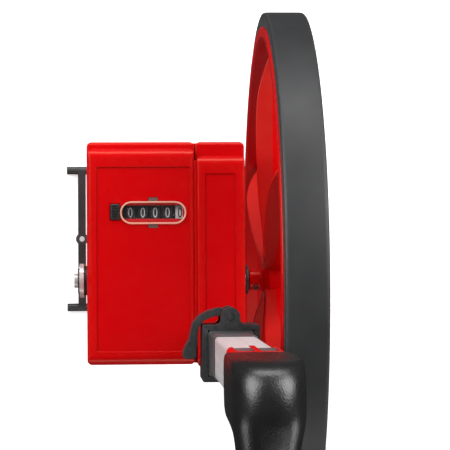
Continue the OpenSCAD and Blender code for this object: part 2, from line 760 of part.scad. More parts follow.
// Pistol grip: [distance behind the tube, height under the top, half width, half height]
grip_stations = [
    [-8, -16, 14.6, 15], [-17, -18, 14, 15], [-28, -23, 12.2, 14.5], [-44, -32, 13, 17],
    [-64, -41, 13.6, 18.5], [-86, -50, 14, 17.5], [-104, -58, 14.5, 18]
];
module grip_slice(s) {
    translate([tube_x, tube_y + s[0], total_h + s[1]]) rotate([-66, 0, 0])
        scale([1, s[3] / s[2], 1]) cylinder(r = s[2], h = 1, center = true, $fn = 40);
}
module grip() {
    color("black") difference() {
        union() {
            for (i = [0:len(grip_stations) - 2]) hull() {
                grip_slice(grip_stations[i]);
                grip_slice(grip_stations[i + 1]);
            }
            intersection() {
                translate([tube_x, tube_y, grip_z0]) soft_head();
                box(-200, 200, -200, 200, grip_z0, total_h);
            }
        }
        square_cut(inner_w + 0.06, grip_z0 - 1, ferrule_z1 + 10.4);
        square_cut(spigot_w + 0.1, grip_z0 - 1, ferrule_z1 + 0.1);
    }
}
// Rounded head over the tube's end
module soft_head() {
    h = total_h - grip_z0;
    hull() {
        linear_extrude(1) round_rect(-14.4, 14.4, -14.4, 12.4, 4);
        translate([0, 0, h - 22]) linear_extrude(2) round_rect(-14.8, 14.8, -17, 12.6, 6);
        translate([0, 0, h - 9]) linear_extrude(1) round_rect(-14, 14, -18, 9.5, 7);
        translate([0, 0, h - 1]) linear_extrude(1) round_rect(-9, 9, -15, 5, 5);
    }
}

// ---- Stand ----
module stand_boss() {
    color("black") at_axle(stand_x1) ring(8.8, 3.03, box_x0 - stand_x1);
}
// Steel strip from the pivot down to the foot bar, with a bent tab
module stand_leg() {
    tab_y = 0.6;
    color("silver") {
        translate([stand_x1 - leg_t - 0.05, 0, 0]) along_x() linear_extrude(leg_t) difference() {
            hull() {
                translate([0, axle_z]) circle(r = 10.1);
                translate([tab_y, 12]) circle(r = 6);
            }
            translate([0, axle_z]) circle(r = 3.05);
        }
        box(foot_x - 2.4, stand_x1 - 0.05, tab_y - 6, tab_y + 6, 2 * peg_r, 2 * peg_r + 2.6);
        box(stand_x1 - leg_t - 0.05, stand_x1 - 0.05, tab_y - 6, tab_y + 6, 2 * peg_r, 14);
    }
}
module foot_bar() {
    color("black") difference() {
        union() {
            box(foot_x - foot_w / 2, foot_x + foot_w / 2, peg_rear_y, peg_front_y, 0, 2 * peg_r);
            for (y = [peg_rear_y, peg_front_y]) translate([stand_x0, y, peg_r]) along_x()
                disc(peg_r, 2 * (foot_x - stand_x0));
            translate([foot_x, foot_y, 0]) disc(4.1, 2 * peg_r);
        }
        translate([foot_x, foot_y, -1]) disc(1.75, 8);
    }
}
module stand_bolt() {
    head_x = stand_x1 - leg_t - 1.1;
    color("silver") at_axle(head_x - 2.1) {
        difference() {
            disc(4.2, 2.1);
            translate([0, 0, -1]) cylinder(r = 2, h = 2, $fn = 6);
        }
        disc(3, box_x0 + 10 - head_x + 2.1);
    }
}
module spring_washer() {
    color("black") at_axle(stand_x1 - leg_t - 1.05) ring(7.4, 3.05, 0.9);
}
module stand_insert() {
    color("goldenrod") at_axle(box_x0 + wall + 0.1) ring(5.2, 3.02, 6);
}

tyre();
wheel_disc();
axle();
hub_set_screw();
spacer_washer();
axle_washer();
axle_nut();
axle_gear();
axle_bushes();
idler_gear();
idler_pin();
counter_gear();
counter_shaft();
gear_plate();
pinion_shaft();
counter_frame();
reset_key();
reset_spring();
housing_base();
counter_cover();
drive_cover();
window_lens();
cover_screws();
tube_screws();
outer_tube();
clamp_collar();
guide_sleeve();
clamp_lever();
lever_pin();
middle_tube();
middle_glide();
upper_collar();
inner_tube();
inner_glide();
grip_ferrule();
grip();
grip_pin();
stand_boss();
stand_leg();
foot_bar();
stand_bolt();
spring_washer();
stand_insert();
for (i = [1:digits]) number_wheel(i);
for (i = [1:digits - 1])
    transfer_pinion(i);
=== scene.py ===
import json
import math

import bmesh
import bpy
from mathutils import Matrix, Vector


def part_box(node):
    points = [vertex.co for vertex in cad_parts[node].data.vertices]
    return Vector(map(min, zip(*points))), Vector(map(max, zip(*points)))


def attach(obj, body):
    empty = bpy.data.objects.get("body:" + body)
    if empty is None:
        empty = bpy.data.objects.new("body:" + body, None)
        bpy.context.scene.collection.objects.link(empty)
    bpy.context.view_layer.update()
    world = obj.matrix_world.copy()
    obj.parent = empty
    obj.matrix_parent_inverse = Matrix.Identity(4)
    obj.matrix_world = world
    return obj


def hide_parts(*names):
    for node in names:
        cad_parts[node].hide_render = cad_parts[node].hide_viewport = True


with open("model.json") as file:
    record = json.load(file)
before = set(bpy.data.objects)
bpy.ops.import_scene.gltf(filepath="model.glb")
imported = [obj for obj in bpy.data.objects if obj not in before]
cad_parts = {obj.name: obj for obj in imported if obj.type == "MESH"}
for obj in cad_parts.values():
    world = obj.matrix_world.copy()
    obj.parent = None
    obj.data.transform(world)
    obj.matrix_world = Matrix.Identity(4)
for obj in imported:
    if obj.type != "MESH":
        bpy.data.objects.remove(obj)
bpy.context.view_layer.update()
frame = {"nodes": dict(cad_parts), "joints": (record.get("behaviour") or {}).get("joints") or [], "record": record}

MM = 0.001
TYRE_THICKNESS = 8.5 * MM
SPOKES = 6
RIM_STEPS = 288
LENS_CLIP = 2.1 * MM


# ---- Places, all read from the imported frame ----
def low(node):
    return Vector(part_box(node)[0])


def high(node):
    return Vector(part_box(node)[1])


def middle(node):
    return (low(node) + high(node)) / 2


JOINTS = {j["name"]: j for j in frame["joints"]}
AXLE = Vector(JOINTS["wheel_spin"]["pos_m"])
COUNTER = Vector(JOINTS["units_spin"]["pos_m"])
TUBE = middle("inner_tube")
FACE_Z = high("counter_cover").z
TOP_Z = high("grip").z


# ---- Camera, floor and light ----
def make_camera():
    """A long lens straight over the instrument, a little in front of the axle."""
    height = 1.154
    place = Vector((-0.04215, 0.0213, AXLE.z + height))
    aim = Vector((0.02367, 0.03277, AXLE.z))
    roll = math.radians(-0.30)
    forward = (aim - place).normalized()
    right = forward.cross(Vector((0, 1, 0))).normalized()
    up = right.cross(forward)
    turned_up = up * math.cos(roll) - right * math.sin(roll)
    turned_right = forward.cross(turned_up)
    data = bpy.data.cameras.new("camera")
    data.lens = 154.5
    data.sensor_width = 36.0
    data.clip_start = 0.05
    data.clip_end = 30.0
    camera = bpy.data.objects.new("camera", data)
    basis = Matrix((turned_right, turned_up, -forward)).transposed().to_4x4()
    camera.matrix_world = Matrix.Translation(place) @ basis
    bpy.context.collection.objects.link(camera)
    bpy.context.scene.camera = camera


def area_light(name, place, aim, size, power, diffuse=True):
    """Rectangular soft box. One without diffuse light only shows in gloss."""
    data = bpy.data.lights.new(name, "AREA")
    data.shape = "RECTANGLE"
    data.size = size[0]
    data.size_y = size[1]
    data.energy = power
    light = bpy.data.objects.new(name, data)
    light.location = place
    light.rotation_euler = (Vector(aim) - Vector(place)).to_track_quat("-Z", "Y").to_euler()
    light.visible_diffuse = diffuse
    bpy.context.collection.objects.link(light)


def make_stage():
    """White sweep with soft boxes: two large ones overhead, a low one beyond the wheel, a weak one on the
    near side, and two small ones that put a streak along the grip's flanks."""
    world = bpy.data.worlds.new("studio")
    world.use_nodes = True
    nodes, links = world.node_tree.nodes, world.node_tree.links
    ray = nodes.new("ShaderNodeLightPath")
    level = nodes.new("ShaderNodeMapRange")
    level.inputs["To Min"].default_value = 0.22
    level.inputs["To Max"].default_value = 0.95
    links.new(ray.outputs["Is Camera Ray"], level.inputs["Value"])
    dimmed = nodes.new("ShaderNodeMath")
    dimmed.operation = "MULTIPLY_ADD"
    dimmed.inputs[1].default_value = -0.19
    links.new(ray.outputs["Is Glossy Ray"], dimmed.inputs[0])
    links.new(level.outputs["Result"], dimmed.inputs[2])
    links.new(dimmed.outputs["Value"], nodes["Background"].inputs["Strength"])
    nodes["Background"].inputs["Color"].default_value = (1, 1, 1, 1)
    bpy.context.scene.world = world
    bpy.context.scene.view_settings.view_transform = "Standard"
    aim = (0, 0, 0.2)
    area_light("left_box", (-1.25, 0.85, 1.45), aim, (1.4, 1.2), 30)
    area_light("right_box", (1.25, 0.85, 1.45), aim, (1.4, 1.2), 30)
    area_light("low_box", (0.1, 1.9, 0.75), aim, (1.8, 0.8), 18)
    area_light("near_box", (0.5, -1.7, 0.9), aim, (1.6, 0.8), 7)
    area_light("left_strip", (-1.5, -0.95, 0.6), TUBE, (0.5, 0.5), 3, diffuse=False)
    area_light("right_strip", (1.5, -0.95, 0.6), TUBE, (0.5, 0.5), 4, diffuse=False)
    bpy.ops.mesh.primitive_plane_add(size=8, location=(0, 0, 0))
    floor = bpy.context.active_object
    floor.name = "floor"
    floor.visible_glossy = False
    mat, nodes, links, shader = new_material("pale_floor")
    grain = noise(nodes, links, 40, 3)
    tint = ramp(nodes, links, grain, [(0.3, (0.93, 0.93, 0.93)), (0.7, (0.96, 0.96, 0.96))])
    links.new(tint, shader.inputs["Base Color"])
    shader.inputs["Roughness"].default_value = 0.9
    shader.inputs["Emission Color"].default_value = (1, 1, 1, 1)
    shader.inputs["Emission Strength"].default_value = 0.55
    floor.data.materials.append(mat)


# ---- Materials ----
def new_material(name):
    mat = bpy.data.materials.new(name)
    mat.use_nodes = True
    nodes = mat.node_tree.nodes
    links = mat.node_tree.links
    return mat, nodes, links, nodes["Principled BSDF"]


def coordinates(nodes, links, stretch=(1, 1, 1)):
    """Places on the object in metres, stretched along an axis where the finish has a grain."""
    place = nodes.new("ShaderNodeTexCoord")
    scale = nodes.new("ShaderNodeMapping")
    scale.inputs["Scale"].default_value = stretch
    links.new(place.outputs["Object"], scale.inputs["Vector"])
    return scale.outputs["Vector"]


def noise(nodes, links, scale, detail, stretch=(1, 1, 1), rough=0.5):
    texture = nodes.new("ShaderNodeTexNoise")
    texture.inputs["Scale"].default_value = scale
    texture.inputs["Detail"].default_value = detail
    texture.inputs["Roughness"].default_value = rough
    links.new(coordinates(nodes, links, stretch), texture.inputs["Vector"])
    return texture.outputs["Fac"]


def cells(nodes, links, scale):
    texture = nodes.new("ShaderNodeTexVoronoi")
    texture.inputs["Scale"].default_value = scale
    links.new(coordinates(nodes, links), texture.inputs["Vector"])
    return texture.outputs["Distance"]


def ramp(nodes, links, value, stops):
    """Blends between two (place, colour) stops."""
    blend = nodes.new("ShaderNodeValToRGB")
    for end, (place, colour) in zip(blend.color_ramp.elements, stops):
        end.position = place
        end.color = (*colour, 1)
    links.new(value, blend.inputs["Fac"])
    return blend.outputs["Color"]


def spread(nodes, links, value, low_value, high_value):
    """Maps a texture's middle range onto two values."""
    remap = nodes.new("ShaderNodeMapRange")
    remap.inputs["From Min"].default_value = 0.3
    remap.inputs["From Max"].default_value = 0.7
    remap.inputs["To Min"].default_value = low_value
    remap.inputs["To Max"].default_value = high_value
    links.new(value, remap.inputs["Value"])
    return remap.outputs["Result"]


def relief(nodes, links, shader, heights, edge=0.0):
    """Bump from (height, strength, depth) layers, over edges rounded by edge metres."""
    normal = None
    if edge:
        round_edges = nodes.new("ShaderNodeBevel")
        round_edges.samples = 4
        round_edges.inputs["Radius"].default_value = edge
        normal = round_edges.outputs["Normal"]
    for height, strength, depth in heights:
        bump = nodes.new("ShaderNodeBump")
        bump.inputs["Strength"].default_value = strength
        bump.inputs["Distance"].default_value = depth
        links.new(height, bump.inputs["Height"])
        if normal:
            links.new(normal, bump.inputs["Normal"])
        normal = bump.outputs["Normal"]
    if normal:
        links.new(normal, shader.inputs["Normal"])


def edge_wear(nodes, links, colour, edge_colour, amount):
    """Lightens edges that stick out, broken up by noise: wear on most finishes, and on the red plastic partly a
    painted highlight along the bevels.
    """
    geometry = nodes.new("ShaderNodeNewGeometry")
    sharp = nodes.new("ShaderNodeMapRange")
    sharp.inputs["From Min"].default_value = 0.52
    sharp.inputs["From Max"].default_value = 0.6
    links.new(geometry.outputs["Pointiness"], sharp.inputs["Value"])
    patchy = nodes.new("ShaderNodeMath")
    patchy.operation = "MULTIPLY"
    links.new(sharp.outputs["Result"], patchy.inputs[0])
    links.new(spread(nodes, links, noise(nodes, links, 500, 3), 0, amount), patchy.inputs[1])
    mix = nodes.new("ShaderNodeMix")
    mix.data_type = "RGBA"
    links.new(patchy.outputs["Value"], mix.inputs["Factor"])
    links.new(colour, mix.inputs["A"])
    mix.inputs["B"].default_value = (*edge_colour, 1)
    return mix.outputs["Result"]


def red_plastic(name, dark, light, rough, shine):
    """Glossy moulded red, with a slight flow pattern and a fine orange peel."""
    mat, nodes, links, shader = new_material(name)
    flow = noise(nodes, links, 26, 3, (1, 1, 0.4))
    base = ramp(nodes, links, flow, [(0.25, dark), (0.75, light)])
    # Lighter orange on edges that stick out: partly edge wear, partly a painted highlight along the bevels
    links.new(edge_wear(nodes, links, base, (0.72, 0.03, 0.012), 0.16), shader.inputs["Base Color"])
    links.new(spread(nodes, links, noise(nodes, links, 140, 2), rough - 0.04, rough + 0.04),
              shader.inputs["Roughness"])
    shader.inputs["Specular IOR Level"].default_value = shine
    shader.inputs["Specular Tint"].default_value = (1, 0.72, 0.5, 1)
    relief(nodes, links, shader, [
        (noise(nodes, links, 900, 1), 0.05, 0.0002),
        (noise(nodes, links, 60, 2), 0.04, 0.0008),
    ], 0.0006)
    return mat


def tyre_rubber():
    """Smooth dark grey rubber with faint mould lines round the tread."""
    mat, nodes, links, shader = new_material("tyre_rubber")
    cloud = noise(nodes, links, 14, 4)
    base = ramp(nodes, links, cloud, [
        (0.3, (0.022, 0.0225, 0.0235)),
        (0.7, (0.029, 0.0295, 0.031)),
    ])
    links.new(edge_wear(nodes, links, base, (0.16, 0.16, 0.165), 0.6), shader.inputs["Base Color"])
    links.new(spread(nodes, links, noise(nodes, links, 60, 3), 0.40, 0.50), shader.inputs["Roughness"])
    shader.inputs["Specular IOR Level"].default_value = 0.45
    lines = noise(nodes, links, 1, 2, (2600, 30, 30))
    relief(nodes, links, shader, [
        (noise(nodes, links, 1500, 2), 0.10, 0.0001),
        (lines, 0.05, 0.0002),
    ], 0.0004)
    return mat


def moulded_plastic(name, dark, light, rough, grain=0.25):
    """Matt plastic with a spark-eroded grain."""
    mat, nodes, links, shader = new_material(name)
    cloud = noise(nodes, links, 45, 3)
    base = ramp(nodes, links, cloud, [(0.3, dark), (0.7, light)])
    edge_colour = tuple(min(1, 2.2 * c + 0.02) for c in light)
    links.new(edge_wear(nodes, links, base, edge_colour, 0.5), shader.inputs["Base Color"])
    links.new(spread(nodes, links, noise(nodes, links, 300, 2), rough - 0.06, rough + 0.06),
              shader.inputs["Roughness"])
    relief(nodes, links, shader, [(cells(nodes, links, 2600), grain, 0.00012)], 0.0005)
    return mat


def soft_rubber():
    """Grip rubber: satin, slightly mottled, with a fine pebble."""
    mat, nodes, links, shader = new_material("grip_rubber")
    cloud = noise(nodes, links, 30, 3)
    base = ramp(nodes, links, cloud, [(0.3, (0.008, 0.008, 0.008)), (0.7, (0.012, 0.012, 0.012))])
    links.new(edge_wear(nodes, links, base, (0.07, 0.07, 0.07), 0.5), shader.inputs["Base Color"])
    links.new(spread(nodes, links, noise(nodes, links, 220, 2), 0.27, 0.33), shader.inputs["Roughness"])
    shader.inputs["Specular IOR Level"].default_value = 0.85
    relief(nodes, links, shader, [(cells(nodes, links, 1500), 0.3, 0.0002)], 0.0004)
    return mat


def metal(name, dark, light, rough, stretch, scale, bare=1.0):
    """Metal with a drawn, turned or plated grain along one axis. An anodised or plated skin is less bare."""
    mat, nodes, links, shader = new_material(name)
    grain = noise(nodes, links, scale, 4, stretch, 0.6)
    links.new(ramp(nodes, links, grain, [(0.3, dark), (0.7, light)]), shader.inputs["Base Color"])
    links.new(spread(nodes, links, grain, rough - 0.06, rough + 0.08), shader.inputs["Roughness"])
    shader.inputs["Metallic"].default_value = bare
    relief(nodes, links, shader, [(grain, 0.08, 0.0001)], 0.0003)
    return mat


def clear_plastic(name, opacity, tint):
    """Polished window plastic with a faint smear."""
    mat, nodes, links, shader = new_material(name)
    smear = noise(nodes, links, 60, 2)
    links.new(ramp(nodes, links, smear, [(0.3, tint), (0.7, tuple(min(1, c + 0.03) for c in tint))]),
              shader.inputs["Base Color"])
    links.new(spread(nodes, links, smear, 0.03, 0.09), shader.inputs["Roughness"])
    shader.inputs["Alpha"].default_value = opacity
    shader.inputs["IOR"].default_value = 1.49
    relief(nodes, links, shader, [(noise(nodes, links, 90, 1), 0.03, 0.0003)])
    return mat


def make_materials():
    drawn = (1, 1, 0.01)
    turned = (0.05, 1, 1)
    dipped = (1, 1, 0.06)
    plain = (1, 1, 1)
    return {
        "red_plastic": red_plastic(
            "gloss_red", (0.52, 0.0004, 0.0022), (0.56, 0.0006, 0.0028), 0.21, 0.36),
        # Darker, matt copy of the red, painted on the rim's inner channel as shade
        "rim_painted_shade": red_plastic(
            "painted_shade_red", (0.27, 0.0005, 0.0022), (0.31, 0.0007, 0.0026), 0.45, 0.12),
        # Darker, browner copy of the red, painted on the spokes' flange faces as shade and as the reflection of
        # the housing's side
        "flange_painted_shade_and_reflection": red_plastic(
            "red_painted_flange_shade_and_reflection", (0.42, 0.0090, 0.0080), (0.48, 0.0120, 0.0095), 0.20, 0.50),
        "tyre_rubber": tyre_rubber(),
        "black_plastic": moulded_plastic(
            "black_plastic", (0.015, 0.016, 0.016), (0.023, 0.024, 0.025), 0.42),
        "grey_plastic": moulded_plastic(
            "grey_plastic", (0.045, 0.047, 0.050), (0.065, 0.068, 0.072), 0.42),
        "grip_rubber": soft_rubber(),
        "tube_aluminium": metal(
            "tube_aluminium", (0.68, 0.68, 0.69), (0.80, 0.80, 0.80), 0.38, drawn, 700, 0.5),
        "dark_aluminium": metal(
            "dark_aluminium", (0.05, 0.05, 0.055), (0.08, 0.08, 0.085), 0.36, drawn, 700),
        "steel": metal(
            "steel", (0.46, 0.46, 0.47), (0.62, 0.62, 0.63), 0.30, turned, 900),
        "zinc_steel": metal(
            "zinc_steel", (0.78, 0.78, 0.77), (0.85, 0.85, 0.84), 0.33, dipped, 260, 0.5),
        "blackened_steel": moulded_plastic(
            "black_coat", (0.020, 0.020, 0.021), (0.032, 0.032, 0.033), 0.36, 0.12),
        "bronze": metal(
            "bronze", (0.42, 0.26, 0.10), (0.56, 0.36, 0.16), 0.40, plain, 1800),
        "white_plastic": moulded_plastic(
            "white_acetal", (0.74, 0.74, 0.71), (0.80, 0.80, 0.77), 0.38, 0.08),
        "digit_black": moulded_plastic(
            "digit_black", (0.012, 0.012, 0.013), (0.020, 0.020, 0.022), 0.30, 0.08),
        "digit_white": moulded_plastic(
            "digit_white", (0.80, 0.80, 0.79), (0.86, 0.86, 0.85), 0.34, 0.08),
        "lens_clear": clear_plastic("lens_clear", 0.05, (0.14, 0.14, 0.15)),
        # Half-opaque pinkish orange: painted highlight and painted refraction of the red along the clear rim
        "lens_rim_painted_highlight": clear_plastic("lens_rim_painted_highlight", 0.55, (0.95, 0.50, 0.36)),
        "lens_clip": clear_plastic("lens_clip", 0.8, (0.16, 0.10, 0.09)),
    }


MATERIALS = {}


def paint_cad_nodes():
    """Every CAD node that stays visible gets its slot's material."""
    slots = {entry["node"]: entry["material_slot"] for entry in frame["record"]["subparts"]}
    for name, obj in frame["nodes"].items():
        obj.data.materials.clear()
        obj.data.materials.append(MATERIALS[slots[name]])


# ---- Mesh tools ----
def piece(name, verts, faces, material, body, smooth=True):
    """New object that rides on a body and carries a material slot."""
    mesh = bpy.data.meshes.new(name)
    mesh.from_pydata([tuple(v) for v in verts], [], faces)
    mesh.update()
    mesh.validate()
    cleaned = bmesh.new()
    cleaned.from_mesh(mesh)
    bmesh.ops.recalc_face_normals(cleaned, faces=cleaned.faces)
    cleaned.to_mesh(mesh)
    cleaned.free()
    for polygon in mesh.polygons:
        polygon.use_smooth = smooth
    mesh.materials.append(MATERIALS[material])
    obj = bpy.data.objects.new(name, mesh)
    bpy.context.collection.objects.link(obj)
    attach(obj, body)
    return obj


def rings_to_mesh(rings, loop=False):
    """Skin through rings of the same number of points, either capped or joined end to end."""
    count = len(rings[0])
    verts = [p for ring in rings for p in ring]
    faces = []
    last = len(rings) if loop else len(rings) - 1
    for i in range(last):
        a, b = i * count, ((i + 1) % len(rings)) * count
        for j in range(count):
            k = (j + 1) % count
            faces.append((a + j, a + k, b + k, b + j))
    if not loop:
        faces.append(tuple(range(count))[::-1])
        faces.append(tuple((len(rings) - 1) * count + j for j in range(count)))
    return verts, faces


def about_axle(profile, segments):
    """Closed (radius, x) profile turned round the wheel's axle."""
    rings = []
    for s in range(segments):
        a = 2 * math.pi * s / segments
        rings.append([Vector((x, AXLE.y + r * math.cos(a), AXLE.z + r * math.sin(a)))
                      for r, x in profile])
    return rings_to_mesh(rings, loop=True)


def rounded(points, radii, steps=5):
    """Closed outline with each corner turned into an arc of its own radius."""
    out = []
    n = len(points)
    for i in range(n):
        p, q, r = (Vector(points[i - 1]), Vector(points[i]), Vector(points[(i + 1) % n]))
        radius = radii[i] if isinstance(radii, (list, tuple)) else radii
        if radius <= 0:
            out.append(q)
            continue
        a, b = (p - q), (r - q)
        reach = min(radius, a.length * 0.48, b.length * 0.48)
        a, b = q + a.normalized() * reach, q + b.normalized() * reach
        for s in range(steps + 1):
            t = s / steps
            out.append(a * (1 - t) ** 2 + q * 2 * t * (1 - t) + b * t ** 2)
    return out


# ---- Wheel ----
def make_tyre():
    """Moulded rubber band: crowned tread and rolled shoulders."""
    x0, x1 = low("tyre").x, high("tyre").x
    outer = (high("tyre").z - low("tyre").z) / 2
    inner = outer - TYRE_THICKNESS
    middle_x = (x0 + x1) / 2
    half = (x1 - x0) / 2
    side = [(inner, half), (outer - 1.6 * MM, half), (outer - 0.55 * MM, half - 0.35 * MM),
            (outer - 0.15 * MM, half - 1.1 * MM), (outer - 0.02 * MM, half - 2.4 * MM)]
    profile = [(r, middle_x - x) for r, x in side] + [(outer, middle_x)]
    profile += [(r, middle_x + x) for r, x in reversed(side)]
    verts, faces = about_axle(profile, RIM_STEPS)
    tyre = piece("tyre_band", verts, faces, "tyre_rubber", "wheel")
    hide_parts("tyre")
    mark_sharp(tyre, 38)


def mark_sharp(obj, angle):
    """Splits the shading where the surface turns by more than angle degrees."""
    mesh = bmesh.new()
    mesh.from_mesh(obj.data)
    limit = math.radians(angle)
    for edge in mesh.edges:
        if len(edge.link_faces) == 2 and edge.calc_face_angle(0) > limit:
            edge.smooth = False
    mesh.to_mesh(obj.data)
    mesh.free()


def second_material(obj, material, chosen):
    """Gives the faces whose centre passes a test a second material in the same slot: the painted-shade red on the
    rim, the painted shade-and-reflection red on the spoke flanges.
    """
    obj.data.materials.append(MATERIALS[material])
    for polygon in obj.data.polygons:
        if chosen(polygon.center):
            polygon.material_index = 1


def along(points, place):
    """Value at a place on a line of (place, value) points."""
    for (a, low_value), (b, high_value) in zip(points, points[1:]):
        if place <= b:
            return low_value + (high_value - low_value) * (place - a) / (b - a)
    return points[-1][1]


def turned_about_axle(points, angle):
    """The points turned round the wheel's axle."""
    turn = Matrix.Rotation(angle, 3, "X")
    return [turn @ (p - AXLE) + AXLE for p in points]


def make_rim():
    """Channel rim with a lip on the counter's side. Its inside gets a darker, matt red as painted shade."""
    x0, x1 = low("tyre").x, high("tyre").x
    mid = (x0 + x1) / 2
    rim = (high("tyre").z - low("tyre").z) / 2 - TYRE_THICKNESS
    lip = x0 - 1.2 * MM
    outline = [
        (rim - 7 * MM, lip + 1.4 * MM), (rim - 6 * MM, lip), (rim - 0.8 * MM, lip), (rim, lip + 0.8 * MM),
        (rim, x1 - 1 * MM), (rim - 5 * MM, x1 - 1 * MM), (rim - 7 * MM, x1 - 3.5 * MM),
        (rim - 4.5 * MM, mid + 3 * MM), (rim - 6.5 * MM, mid), (rim - 4.5 * MM, mid - 3 * MM),
    ]
    radii = [0.7 * MM, 0.7 * MM, 0.3 * MM, 0, 0, 1.2 * MM, 1 * MM] + [1.5 * MM] * 3
    profile = [(p.x, p.y) for p in rounded(outline, radii)]
    verts, faces = about_axle(profile, RIM_STEPS)
    ring = piece("rim_ring", verts, faces, "red_plastic", "wheel")
    mark_sharp(ring, 50)
    # The rim's inner channel gets the darker red as painted shade
    second_material(ring, "rim_painted_shade", lambda c: math.hypot(c.y - AXLE.y, c.z - AXLE.z) < rim - 5.9 * MM
                    or lip + 1 * MM < c.x < x1 - 3 * MM)
    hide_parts("wheel_disc")


def make_spokes():
    """Deep bowed spokes whose edge on the counter's side thins out to a flange. Sizes are in millimetres."""
    x0, x1 = low("tyre").x / MM, high("tyre").x / MM
    root = 5.4
    end = (high("tyre").z - low("tyre").z - 2 * TYRE_THICKNESS) / 2 / MM - 5.5
    # reach of the near and far edges past the tyre's sides, by radius
    near_reach = [
        (root, 1.0), (16, 1.0), (30, 0.1), (45, -1.6), (60, -2.6), (75, -3.2), (90, -3.3),
        (102, -3.0), (112, -1.9), (121, 0.2), (129, 2.8), (136, 5.8), (end, 8.6),
    ]
    far_reach = [(root, 4), (16, 4), (60, 2.4), (102, 1.5), (118, 2.0), (131, 3.4), (end, 9)]
    crease = x0 + 6.6
    thinnest = x0 - 3.3
    flange_end = crease - 0.4
    rows = 36
    for k in range(SPOKES):
        rings = []
        for row in range(rows):
            r = root + (end - root) * row / (rows - 1)
            near, far = x0 + along(near_reach, r), x1 - along(far_reach, r)
            tip = 0.4 + (near - thinnest) * 2.1 / (crease - thinnest)
            half = [(2.0, far), (2.5, far - 0.5), (2.5, crease), (tip, near + 0.2), (tip * 0.4, near)]
            outline = half + [(-t, x) for t, x in reversed(half)]
            rings.append([Vector((x * MM, AXLE.y + r * MM, AXLE.z + t * MM)) for t, x in outline])
        rings = [turned_about_axle(r, k * 2 * math.pi / SPOKES) for r in rings]
        verts, faces = rings_to_mesh(rings)
        blade = piece(f"spoke_{k + 1}", verts, faces, "red_plastic", "wheel")
        mark_sharp(blade, 9)
        # The flange faces get the browner red as painted shade and painted reflection
        second_material(blade, "flange_painted_shade_and_reflection", lambda c: c.x < flange_end * MM)
        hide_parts("wheel_disc")


def make_hub():
    """Two-step hub: a slim sleeve on each side of a wider boss. Sizes are in millimetres."""
    sleeve = low("wheel_disc").x / MM
    x0, x1 = low("tyre").x / MM, high("tyre").x / MM
    outline = [
        (4.05, sleeve), (5.7, sleeve), (6.4, sleeve + 0.7), (6.4, x0 - 1.5), (7.4, x0 + 0.6),
        (13.5, x0 + 2), (15, x0 + 3.2), (15, x1 - 7), (14, x1 - 6), (7.4, x1 - 5),
        (6.4, x1 - 3), (6.4, x1 - 1.4), (5.9, x1 - 1), (4.05, x1 - 1),
    ]
    radii = [0, 0.5, 0.5, 0.8, 2, 1, 1, 1, 1, 2, 1, 0.3, 0.3, 0]
    profile = [(p.x * MM, p.y * MM) for p in rounded(outline, radii, 4)]
    verts, faces = about_axle(profile, 96)
    boss = piece("hub_boss", verts, faces, "red_plastic", "wheel")
    mark_sharp(boss, 50)
    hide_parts("wheel_disc")


# ---- Counter ----
def digit_mesh(text):
    """Outline of one numeral as a flat mesh, centred, 1 high."""
    curve = bpy.data.curves.new("numeral", "FONT")
    curve.body = text
    curve.align_x = "CENTER"
    curve.align_y = "CENTER"
    curve.resolution_u = 6
    obj = bpy.data.objects.new("numeral", curve)
    bpy.context.collection.objects.link(obj)
    bpy.context.view_layer.update()
    mesh = bpy.data.meshes.new_from_object(obj.evaluated_get(bpy.context.evaluated_depsgraph_get()))
    bpy.data.objects.remove(obj)
    bpy.data.curves.remove(curve)
    xs = [v.co.x for v in mesh.vertices]
    ys = [v.co.y for v in mesh.vertices]
    centre = Vector(((min(xs) + max(xs)) / 2, (min(ys) + max(ys)) / 2, 0))
    tall = max(ys) - min(ys)
    mesh.transform(Matrix.Scale(1 / tall, 4) @ Matrix.Translation(-centre))
    return mesh


def make_digits():
    """Ten raised numerals on each number wheel, bent round its rim."""
    tall, wide = 5.9 * MM, 3.9 * MM
    half_rim = 2.6 * MM
    cut_pitch = 0.11
    drum_r = (high("number_wheel_1").z - low("number_wheel_1").z) / 2
    r = drum_r + 0.03 * MM
    flat = [digit_mesh(str(n)) for n in range(10)]
    bodies = ["digit_1", "digit_2", "digit_3", "digit_4", "units_drive"]
    for wheel, body in enumerate(bodies, 1):
        centre_x = low(f"number_wheel_{wheel}").x + half_rim
        verts, faces = [], []
        for n, source in enumerate(flat):
            shape = bmesh.new()
            shape.from_mesh(source)
            for cut in range(-4, 5):
                bmesh.ops.bisect_plane(shape, geom=shape.verts[:] + shape.edges[:] + shape.faces[:],
                                       plane_co=(0, cut * cut_pitch, 0), plane_no=(0, 1, 0))
            shape.verts.index_update()
            start = len(verts)
            for v in shape.verts:
                angle = v.co.y * tall / drum_r - n * math.pi / 5
                verts.append(Vector((centre_x + v.co.x * wide, COUNTER.y + r * math.sin(angle),
                                     COUNTER.z + r * math.cos(angle))))
            faces += [tuple(start + v.index for v in f.verts) for f in shape.faces]
            shape.free()
        colour = "digit_black" if wheel == len(bodies) else "digit_white"
        numerals = piece(f"numerals_{wheel}", verts, faces, colour, body, smooth=False)
        shell = numerals.modifiers.new("shell", "SOLIDIFY")
        shell.thickness = 0.06 * MM
        shell.offset = 0


def pill_outline(x0, x1, y0, y1, inset, steps=16):
    """Pill-shaped outline in the XY plane, drawn in by inset."""
    r = (y1 - y0) / 2 - inset
    cy = (y0 + y1) / 2
    ends = [(x1 - (y1 - y0) / 2, -math.pi / 2), (x0 + (y1 - y0) / 2, math.pi / 2)]
    return [(cx + r * math.cos(start + math.pi * s / steps), cy + r * math.sin(start + math.pi * s / steps))
            for cx, start in ends for s in range(steps + 1)]


